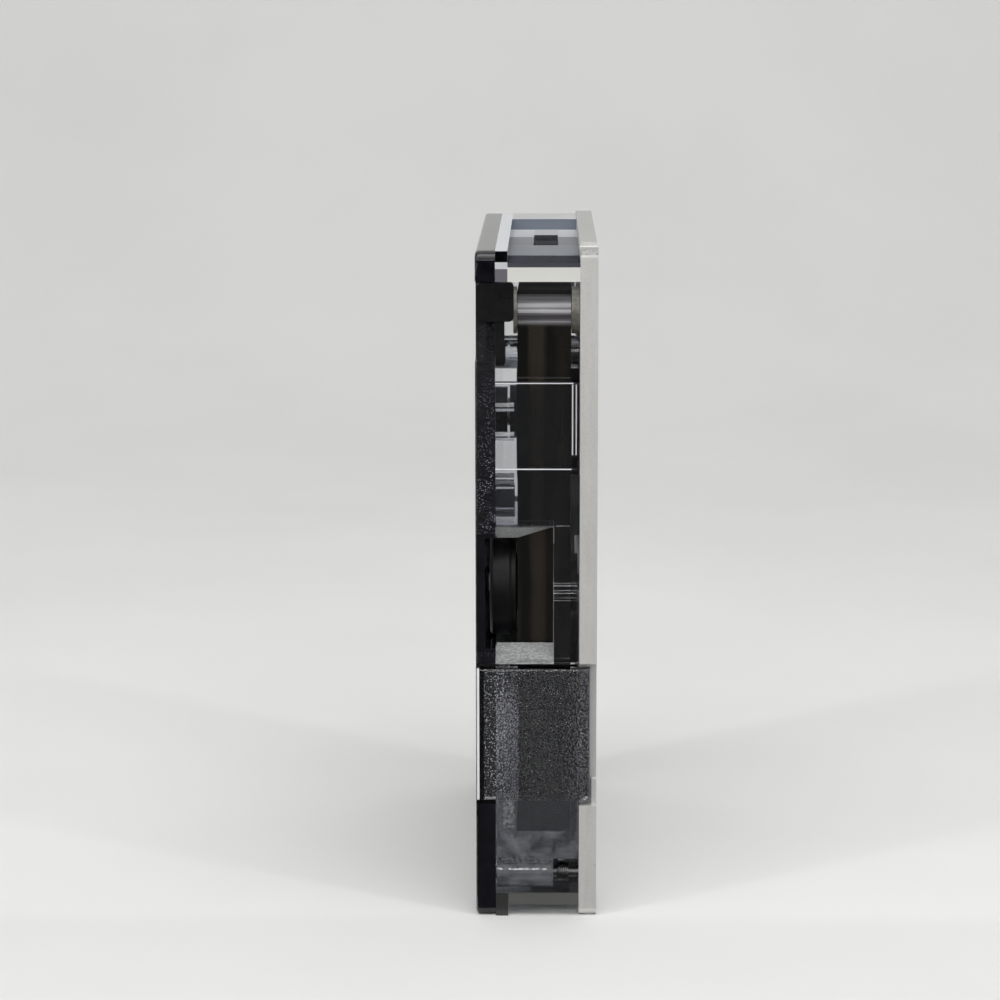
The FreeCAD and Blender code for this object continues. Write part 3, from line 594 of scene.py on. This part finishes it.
def satinAluminium(name, setting):
    mat, shader = newMaterial(name)
    rolledScale, fineScale, cloudScale = setting["scales"]
    grains = (noise(mat, rolledScale, stretch=setting["rolled"], detail=6),
              noise(mat, fineScale, detail=3), noise(mat, cloudScale, detail=3))
    shares = [maths(mat, "MULTIPLY", grain, share) for grain, share in zip(grains, setting["shares"])]
    mixed = maths(mat, "ADD", maths(mat, "ADD", shares[0], shares[1]), shares[2])
    tone = ramp(mat, mixed, (0.34, setting["dark"]), (0.62, setting["light"]))
    fleck = toRange(mat, noise(mat, setting["fleckScale"], detail=1), *setting["fleckFrom"], 0.0, 0.8)
    colour = mixColour(mat, fleck, tone, (*setting["fleck"], 1))
    rough = toRange(mat, mixed, 0.3, 0.7, *setting["rough"])
    low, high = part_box("base_plate")
    level = allOf(mat, facing(mat, "Z"), within(mat, "Z", high[2] - setting["topDepth"], high[2] + mm))
    colour = mixColour(mat, level, colour, (*setting["topTone"], 1))
    # the top front corner is painted darker in patches and made rougher
    corner = allOf(mat, within(mat, "Z", high[2] - setting["cornerDrop"], high[2] + mm),
                   within(mat, "Y", low[1] - mm, low[1] + setting["cornerReach"]))
    cornerPatches = toRange(mat, noise(mat, setting["cornerPatchScale"], detail=3), 0.40, 0.60, 0.35, 1.0)
    colour = mixColour(mat, allOf(mat, corner, cornerPatches), colour, (*setting["cornerTone"], 1))
    shader.inputs["Metallic"].default_value = setting["metal"]
    connect(mat, shader, {"colour": colour, "rough": mixValue(mat, corner, rough, setting["cornerRough"])})
    bump(mat, shader, mixed, setting["depth"], 0.8)
    return mat


def solidFinish(name, dark, light, rough, metal=0.0, scale=900.0, stretch=(1, 1, 1), depth=0.01 * mm, gloss=0.5):
    mat, shader = newMaterial(name)
    grain = noise(mat, scale, stretch=stretch, detail=5)
    wear = noise(mat, scale * 0.12, detail=3)
    shader.inputs["Metallic"].default_value = metal
    shader.inputs["Specular IOR Level"].default_value = gloss
    connect(mat, shader, {"colour": ramp(mat, grain, (0.3, dark), (0.7, light)),
                          "rough": toRange(mat, wear, 0.3, 0.7, max(rough - 0.07, 0.02), rough + 0.09)})
    bump(mat, shader, grain, depth, 0.7)
    return mat


tapeSet = {
    "black": (0.0042, 0.0042, 0.0034),
    "brown": (0.022, 0.0175, 0.0125),
    "red": (0.032, 0.0225, 0.016),
    "rough": (0.10, 0.26),
    "streaks": 340.0,                # bands run up the tape
    "fog": 90.0,
    "shares": (0.6, 0.4),
    "litBandX": 0.1 * mm,              # a band down the middle of the tape is painted lighter, painted light
    "litBandHalf": (0.5 * mm, 1.3 * mm),
    "litBandGain": 0.16,
    "bend": 3.3 * mm,
    "bendDepth": 2 * mm,
    "ringScale": 1300,
    "bendGlintDark": (0.055, 0.052, 0.056),
    "bendGlintMid": (0.18, 0.176, 0.186),
    "bendGlintPale": (0.46, 0.455, 0.47),
}


def tapeFilmFinish(name, setting):
    # magnetic coating with soft bands along the film
    mat, shader = newMaterial(name)
    front, top = tapeLow[1], tapeHigh[2]
    bands = noise(mat, setting["streaks"], stretch=(1, 1, 0.06), detail=3)
    fog = noise(mat, setting["fog"], stretch=(1, 1, 0.35), detail=4)
    shares = [maths(mat, "MULTIPLY", grain, share) for grain, share in zip((bands, fog), setting["shares"])]
    # the middle of the tape's width is painted lighter than its sides: painted light, with painted shade at the
    # sides
    aside = maths(mat, "ABSOLUTE", maths(mat, "SUBTRACT", part(mat, "Object", "X"), setting["litBandX"]))
    litBand = toRange(mat, aside, *setting["litBandHalf"], setting["litBandGain"], 0.0)
    tone = ramp(mat, maths(mat, "ADD", maths(mat, "ADD", *shares), litBand),
                (0.50, setting["black"]), (0.62, setting["brown"]), (0.72, setting["red"]))
    rough = toRange(mat, fog, 0.3, 0.7, *setting["rough"])
    # the film is painted in bands of highlight where it bends round the upper guide
    bendLow = top - setting["bend"] - mm
    bend = allOf(mat, toRange(mat, part(mat, "Object", "Z"), bendLow, bendLow + mm, 0.0, 1.0),
                 within(mat, "Y", front - mm, front + setting["bendDepth"]))
    rings = ramp(mat, noise(mat, setting["ringScale"], stretch=(0.02, 0.02, 1), detail=3),
                 (0.40, setting["bendGlintDark"]), (0.52, setting["bendGlintMid"]), (0.64, setting["bendGlintPale"]))
    tone = mixColour(mat, bend, tone, rings)
    # and dull and black where it runs back from the guides
    upper = allOf(mat, facing(mat, "Z"), within(mat, "Y", front + mm, 0))
    connect(mat, shader, {"colour": mixColour(mat, upper, tone, (*setting["black"], 1)),
                          "rough": mixValue(mat, upper, rough, 1.0)})
    bump(mat, shader, bands, 0.015 * mm, 0.6)
    return mat


edgeSet = {
    "weld": 0.0005 * mm,
    "flatAngle": 1.0,                # degrees, under which two faces count as one flat face
    "smoothAngle": 40,
    "bevelAngle": 35,
    "weight": 100,
}
plainAngle = 32                      # for the pieces that keep their own mesh


def smoothMesh(mesh, sharp):
    for face in mesh.polygons:
        face.use_smooth = True
    mesh.set_sharp_from_angle(angle=math.radians(sharp))


def setMaterials(mesh, *mats):
    mesh.materials.clear()
    for mat in mats:
        mesh.materials.append(mat)
    for face in mesh.polygons:
        face.material_index = 0


def dress(node, mat):
    mesh = nodes[node].data
    setMaterials(mesh, mat)
    smoothMesh(mesh, plainAngle)


def newObject(name, data):
    thing = bpy.data.objects.new(name, data)
    bpy.context.scene.collection.objects.link(thing)
    return thing


def newPiece(name, mesh, mat, node, sharp=None):
    # hands a finished mesh to the body of the node that it stands for
    mesh.name = name
    setMaterials(mesh, mat)
    if sharp is not None:
        smoothMesh(mesh, sharp)
    piece = newObject(name, mesh)
    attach(piece, nodes[node]["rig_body"])
    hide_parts(node)


def meshOf(name, work):
    bmesh.ops.recalc_face_normals(work, faces=work.faces)
    mesh = bpy.data.meshes.new(name)
    work.to_mesh(mesh)
    work.free()
    return mesh


def roundedCopy(node, name, mat, width, segments=2, setting=edgeSet):
    # a copy of a rigid piece with its sharp edges broken, as moulded or tumbled parts have them
    mesh = nodes[node].data.copy()
    work = bmesh.new()
    work.from_mesh(mesh)
    bmesh.ops.remove_doubles(work, verts=work.verts, dist=setting["weld"])
    bmesh.ops.dissolve_limit(work, angle_limit=math.radians(setting["flatAngle"]),
                             verts=work.verts, edges=work.edges)
    work.to_mesh(mesh)
    work.free()
    smoothMesh(mesh, setting["smoothAngle"])
    setMaterials(mesh, mat, mat)     # the second slot only marks what the bevel adds
    blank = newObject(name + "Blank", mesh)
    mod = blank.modifiers.new("edges", "BEVEL")
    mod.width = width
    mod.segments = segments
    mod.limit_method = "ANGLE"
    mod.angle_limit = math.radians(setting["bevelAngle"])
    mod.miter_outer = "MITER_ARC"
    mod.material = 1
    flat = blank.modifiers.new("flatFaces", "WEIGHTED_NORMAL")  # broad faces stay flat between their edges
    flat.weight = setting["weight"]
    flat.keep_sharp = True
    bpy.context.view_layer.update()
    graph = bpy.context.evaluated_depsgraph_get()
    finished = bpy.data.meshes.new_from_object(blank.evaluated_get(graph))
    bpy.data.objects.remove(blank)
    line = finished.attributes.new("edgeLine", "FLOAT", "FACE")
    line.data.foreach_set("value", [float(face.material_index == 1) for face in finished.polygons])
    newPiece(name, finished, mat, node)


finishSet = {
    "sliderBlack": {"dark": (0.003, 0.003, 0.0035), "light": (0.007, 0.007, 0.0075), "rough": 0.26,
                    "scale": 2600, "depth": 0.015 * mm, "gloss": 0.3},
    "puckBlack": {"dark": (0.002, 0.002, 0.0024), "light": (0.006, 0.006, 0.007), "rough": 0.42,
                  "scale": 1800, "gloss": 0.25},
    "beltRubber": {"dark": (0.010, 0.010, 0.010), "light": (0.028, 0.027, 0.026), "rough": 0.55, "scale": 1500},
    "rollerGrey": {"dark": (0.52, 0.53, 0.53), "light": (0.64, 0.65, 0.65), "rough": 0.36, "scale": 1500},
    "groundSteel": {"dark": (0.42, 0.41, 0.39), "light": (0.58, 0.57, 0.55), "rough": 0.26, "metal": 1.0,
                    "scale": 1400, "stretch": (1, 0.1, 0.1)},
    "pinSteel": {"dark": (0.12, 0.12, 0.125), "light": (0.22, 0.22, 0.22), "rough": 0.28, "metal": 1.0,
                 "scale": 1400},
    "springSteel": {"dark": (0.10, 0.10, 0.10), "light": (0.24, 0.235, 0.23), "rough": 0.30, "metal": 1.0,
                    "scale": 2400},
    "guideMetal": {"dark": (0.20, 0.195, 0.165), "light": (0.34, 0.33, 0.29), "rough": 0.32, "metal": 0.55,
                   "scale": 1600},
    "screwSteel": {"dark": (0.36, 0.36, 0.36), "light": (0.56, 0.56, 0.55), "rough": 0.34, "metal": 1.0,
                   "scale": 2400},
    "hubBlack": {"dark": (0.016, 0.016, 0.017), "light": (0.034, 0.034, 0.035), "rough": 0.38, "scale": 1400},
    "mirrorFace": {"dark": (0.80, 0.80, 0.81), "light": (0.88, 0.88, 0.89), "rough": 0.06, "metal": 1.0,
                   "scale": 500},
}

finishes = {
    "smokeCover": smokePlastic("smokeCover", coverSet, mouldSet),
    "smokeDoor": grainedLeaf("smokeDoor", doorSet),
    "plateMetal": satinAluminium("plateMetal", plateSet),
    "tapeFilm": tapeFilmFinish("tapeFilm", tapeSet),
}
for name, look in finishSet.items():
    finishes[name] = solidFinish(name, **look)
print("finishes done")

pieceSet = (                         # node, name, finish, slot, width of its broken edges, steps across them
    ("cover", "coverShell", "smokeCover", "smoke_plastic", 0.12 * mm, 2),
    ("door", "doorLeaf", "smokeDoor", "door_plastic", 0.12 * mm, 2),
    ("base_plate", "plateBody", "plateMetal", "plate", 0.12 * mm, 2),
    ("write_protect_slider", "sliderBlock", "sliderBlack", "black_plastic", 0.15 * mm, 3),
    ("cover_screws", "crossScrews", "screwSteel", "screw_steel", 0.05 * mm, 2),
    ("drive_roller", "driveRoller", "puckBlack", "puck", 0.08 * mm, 2),
)
for node, name, finish, slotName, width, segments in pieceSet:
    roundedCopy(node, name, finishes[finish], width, segments)
for node, finish in (("drive_belt", "beltRubber"), ("tape_run", "tapeFilm"), ("mirror", "mirrorFace"),
                     ("door_pin", "pinSteel"), ("drive_roller_pin", "pinSteel")):
    dress(node, finishes[finish])
print("cover, door, plate and drive done")

springSet = {
    "wire": 0.30 * mm,
    "turns": 6,
    "legBack": 1.5 * mm,             # door leg, behind the door's face
    "steps": 20,                     # points to a turn
    "sides": 10,
    "sharp": 60,
}


def tube(points, radius, sides):
    # round wire through a row of points, with its two ends closed
    work = bmesh.new()
    rings = []
    for i, point in enumerate(points):
        before = points[max(i - 1, 0)]
        after = points[min(i + 1, len(points) - 1)]
        along = (after - before).normalized()
        side = along.cross(Vector((1, 0.02, 0.01))).normalized()
        up = side.cross(along)
        ring = []
        for k in range(sides):
            turn = 2 * math.pi * k / sides
            ring.append(work.verts.new(point + radius * (math.cos(turn) * side + math.sin(turn) * up)))
        rings.append(ring)
    for one, two in zip(rings, rings[1:]):
        for k in range(sides):
            work.faces.new((one[k], one[(k + 1) % sides], two[(k + 1) % sides], two[k]))
    work.faces.new(rings[0])
    work.faces.new(rings[-1])
    return meshOf("wire", work)


def coilSpring(setting):
    low, high = (Vector(corner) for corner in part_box("door_spring"))
    pinLow, pinHigh = (Vector(corner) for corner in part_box("door_pin"))
    axisY, axisZ = (pinLow.y + pinHigh.y) / 2, (pinLow.z + pinHigh.z) / 2
    wire = setting["wire"] / 2
    radius = axisZ - low.z - wire
    legY = doorLow[1] + setting["legBack"]
    stop = math.acos((legY - axisY) / radius)
    first = -math.pi / 2
    last = stop + 2 * math.pi * (setting["turns"] - 1)
    count = int(setting["steps"] * (last - first) / (2 * math.pi))
    points = [Vector((high.x - wire, high.y, axisZ - radius))]
    for i in range(count + 1):
        share = i / count
        turn = first + (last - first) * share
        x = high.x - wire - (high.x - low.x - 2 * wire) * share
        points.append(Vector((x, axisY + radius * math.cos(turn), axisZ + radius * math.sin(turn))))
    points.append(Vector((low.x + wire, legY, high.z)))
    newPiece("coilSpring", tube(points, wire, setting["sides"]), finishes["springSteel"], "door_spring",
             setting["sharp"])


coilSpring(springSet)
print("spring done")

packSet = {
    "dark": (0.010, 0.0075, 0.006),
    "light": (0.040, 0.028, 0.021),
    "rough": (0.22, 0.42),
    "ringScale": 5000.0,             # per metre
    "ringDepth": 0.04 * mm,
    "bands": 26,                     # steps between tight and loose winding
    "proud": 0.05 * mm,
    "segments": 96,
    "sharp": 25,
    "seeds": {"lower": 7, "upper": 8},
}


def woundEdge(name, centre, setting):
    # fine rings about the reel's axis, as the edges of the wound film show them
    mat, shader = newMaterial(name)
    coords = addNode(mat, "ShaderNodeTexCoord")
    shift = addNode(mat, "ShaderNodeVectorMath", operation="SUBTRACT")
    shift.inputs[1].default_value = (0, centre.y, centre.z)
    flat = addNode(mat, "ShaderNodeVectorMath", operation="MULTIPLY")
    flat.inputs[1].default_value = (0, 1, 1)
    length = addNode(mat, "ShaderNodeVectorMath", operation="LENGTH")
    join(mat, coords.outputs["Object"], shift.inputs[0])
    join(mat, shift.outputs["Vector"], flat.inputs[0])
    join(mat, flat.outputs["Vector"], length.inputs[0])
    rings = addNode(mat, "ShaderNodeTexNoise", noise_dimensions="1D")
    rings.inputs["Scale"].default_value = setting["ringScale"]
    rings.inputs["Detail"].default_value = 6
    join(mat, length.outputs["Value"], rings.inputs["W"])
    grain = rings.outputs["Fac"]
    connect(mat, shader, {"colour": ramp(mat, grain, (0.3, setting["dark"]), (0.7, setting["light"])),
                          "rough": toRange(mat, grain, 0.3, 0.7, *setting["rough"])})
    bump(mat, shader, grain, setting["ringDepth"], 0.8)
    return mat


def woundPack(end, setting):
    # the two side faces step in and out a little where the film was wound tighter or looser
    node = "tape_pack_" + end
    low, high = (Vector(corner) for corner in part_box(node))
    hubLow, hubHigh = (Vector(corner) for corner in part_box("reel_hub_" + end))
    centre = (low + high) / 2
    inner = (hubHigh.z - hubLow.z) / 2
    outer = (high.z - low.z) / 2
    chance = random.Random(setting["seeds"][end])
    steps = [chance.random() * setting["proud"] for band in range(setting["bands"])]
    profile = []
    for side, face in ((1, low.x), (-1, high.x)):
        rim = []
        for band, step in enumerate(steps):
            near = inner + (outer - inner) * band / len(steps)
            far = inner + (outer - inner) * (band + 1) / len(steps)
            rim += [(face + side * step, near), (face + side * step, far)]
        profile += rim if side == 1 else rim[::-1]
    work = bmesh.new()
    rings = []
    for k in range(setting["segments"]):
        turn = 2 * math.pi * k / setting["segments"]
        rings.append([work.verts.new((x, centre.y + radius * math.cos(turn), centre.z + radius * math.sin(turn)))
                      for x, radius in profile])
    for one, two in zip(rings, rings[1:] + rings[:1]):
        for i in range(len(profile)):
            after = (i + 1) % len(profile)
            work.faces.new((one[i], one[after], two[after], two[i]))
    mesh = meshOf(node, work)
    mat = woundEdge("woundTape" + end.capitalize(), centre, setting)
    newPiece("woundPack" + end.capitalize(), mesh, mat, node, setting["sharp"])


pairSet = (                          # node, name, finish, slot, width of its broken edges
    ("reel_hub_", "reelHub", "hubBlack", "black_plastic", 0.10 * mm),
    ("tape_guide_", "tapeGuide", "guideMetal", "steel", 0.06 * mm),
    ("corner_roller_", "cornerRoller", "rollerGrey", "roller_plastic", 0.10 * mm),
)
for end in ("lower", "upper"):
    woundPack(end, packSet)
    for node, name, finish, slotName, width in pairSet:
        roundedCopy(node + end, name + end.capitalize(), finishes[finish], width)
    dress("hub_pin_" + end, finishes["groundSteel"])
    dress("corner_roller_pin_" + end, finishes["groundSteel"])
print("reels, guides and rollers done")

stageSet = {
    "floor": (0.80, 0.80, 0.785),
    "cloudy": (0.76, 0.76, 0.745),
    "cloudScale": 9,
    "rough": 0.6,
    "size": 1.6,
    "rise": 0.9,
    "bend": 0.25,
    "bendSteps": 12,
    "behind": 0.55,
}


def floorSheet(setting):
    mat, shader = newMaterial("paleFloor")
    join(mat, ramp(mat, noise(mat, setting["cloudScale"], detail=3),
                   (0.35, setting["cloudy"]), (0.65, setting["floor"])), shader.inputs["Base Color"])
    shader.inputs["Roughness"].default_value = setting["rough"]
    bendFrom = setting["behind"] - setting["bend"]
    profile = [(-setting["size"], 0.0), (bendFrom, 0.0)]
    for i in range(1, setting["bendSteps"] + 1):  # quarter circle up into the backdrop
        turn = math.radians(90) * i / setting["bendSteps"]
        profile.append((setting["behind"] - setting["bend"] * (1 - math.sin(turn)),
                        setting["bend"] * (1 - math.cos(turn))))
    profile.append((setting["behind"], setting["rise"]))
    verts = [(side * setting["size"], y, z) for y, z in profile for side in (-1, 1)]
    faces = [(2 * i, 2 * i + 1, 2 * i + 3, 2 * i + 2) for i in range(len(profile) - 1)]
    mesh = bpy.data.meshes.new("paleFloor")
    mesh.from_pydata(verts, [], faces)
    for face in mesh.polygons:
        face.use_smooth = True
    mesh.materials.append(mat)
    newObject("paleFloor", mesh)


cardSet = {
    "tone": (0.02, 0.02, 0.021),
    "paler": (0.04, 0.04, 0.042),
    "cloudScale": 12,
    "rough": 0.8,
    "near": -0.0312,
    "far": -1.5,
    "half": 0.35,
    "height": 0.0005,
}


def darkCard(setting):
    # dark card that lies before the object and shows only in its gloss
    mat, shader = newMaterial("darkCard")
    join(mat, ramp(mat, noise(mat, setting["cloudScale"], detail=3),
                   (0.3, setting["tone"]), (0.7, setting["paler"])), shader.inputs["Base Color"])
    shader.inputs["Roughness"].default_value = setting["rough"]
    mesh = bpy.data.meshes.new("darkCard")
    half, height = setting["half"], setting["height"]
    corners = [(-half, setting["far"], height), (half, setting["far"], height),
               (half, setting["near"], height), (-half, setting["near"], height)]
    mesh.from_pydata(corners, [], [(0, 1, 2, 3)])
    mesh.materials.append(mat)
    card = newObject("darkCard", mesh)
    card.visible_camera = False
    card.visible_diffuse = False
    card.visible_shadow = False


worldSet = {
    "colour": (0.97, 0.98, 1.0, 1),
    "dark": 0.03,                    # towards the front and below
    "bright": 0.57,                  # overhead and behind
    "up": 0.6,
    "back": 0.4,
    "lean": (-0.3, 0.7),             # from where it is dark to where it is bright
}


def paleWorld(setting):
    world = bpy.data.worlds.new("paleWorld")
    bpy.context.scene.world = world
    world.use_nodes = True
    back = world.node_tree.nodes["Background"]
    lean = maths(world, "ADD", maths(world, "MULTIPLY", part(world, "Generated", "Z"), setting["up"]),
                 maths(world, "MULTIPLY", part(world, "Generated", "Y"), setting["back"]))
    strength = toRange(world, lean, *setting["lean"], setting["dark"], setting["bright"])
    join(world, strength, back.inputs["Strength"])
    back.inputs["Color"].default_value = setting["colour"]


lampSet = {                          # place, size (m), watts
    "overheadBack": ((0.0, 0.22, 0.72), (0.80, 0.06), 0.6),
    "overheadSoft": ((0.0, -0.27, 0.66), (0.80, 0.38), 2.5),
    "highFront": ((0.0, -0.52, 0.52), (0.90, 0.03), 0.5),
    "uprightLeft": ((-0.58, -0.45, 0.40), (0.05, 0.55), 1.1),
    "uprightRight": ((0.60, -0.42, 0.40), (0.05, 0.55), 0.9),
    "lowFront": ((0.0, -0.85, 0.20), (0.90, 0.02), 0.5),
    "middleFront": ((0.0, -0.72, 0.36), (0.90, 0.025), 0.6),
}
lampTarget = (0, 0, 0.04)


def softLamp(name, place, size, watts):
    data = bpy.data.lights.new(name, "AREA")
    data.shape = "RECTANGLE"
    data.size, data.size_y = size
    data.energy = watts
    lamp = newObject(name, data)
    lamp.location = place
    lamp.rotation_euler = (Vector(lampTarget) - Vector(place)).to_track_quat("-Z", "Y").to_euler()


cameraSet = {
    "place": (1.21 * mm, -375.0 * mm, 110.7 * mm),
    "pitch": 9.80,
    "yaw": 0.917,
    "roll": 0.09,
    "lens": 106.2,
    "sensor": 36,
    "clip": (0.01, 20),
}


def aimCamera(setting):
    data = bpy.data.cameras.new("camera")
    data.lens = setting["lens"]
    data.sensor_width = setting["sensor"]
    data.clip_start, data.clip_end = setting["clip"]
    cam = newObject("camera", data)
    turn = Matrix.Rotation(math.radians(setting["yaw"]), 4, "Z")
    tilt = Matrix.Rotation(math.radians(90 - setting["pitch"]), 4, "X")
    roll = Matrix.Rotation(math.radians(-setting["roll"]), 4, "Z")
    cam.matrix_world = Matrix.Translation(setting["place"]) @ turn @ tilt @ roll
    bpy.context.scene.camera = cam


floorSheet(stageSet)
darkCard(cardSet)
paleWorld(worldSet)
for name, (place, size, watts) in lampSet.items():
    softLamp(name, place, size, watts)
aimCamera(cameraSet)
bpy.context.scene.view_settings.view_transform = "Standard"
print("stage ready")
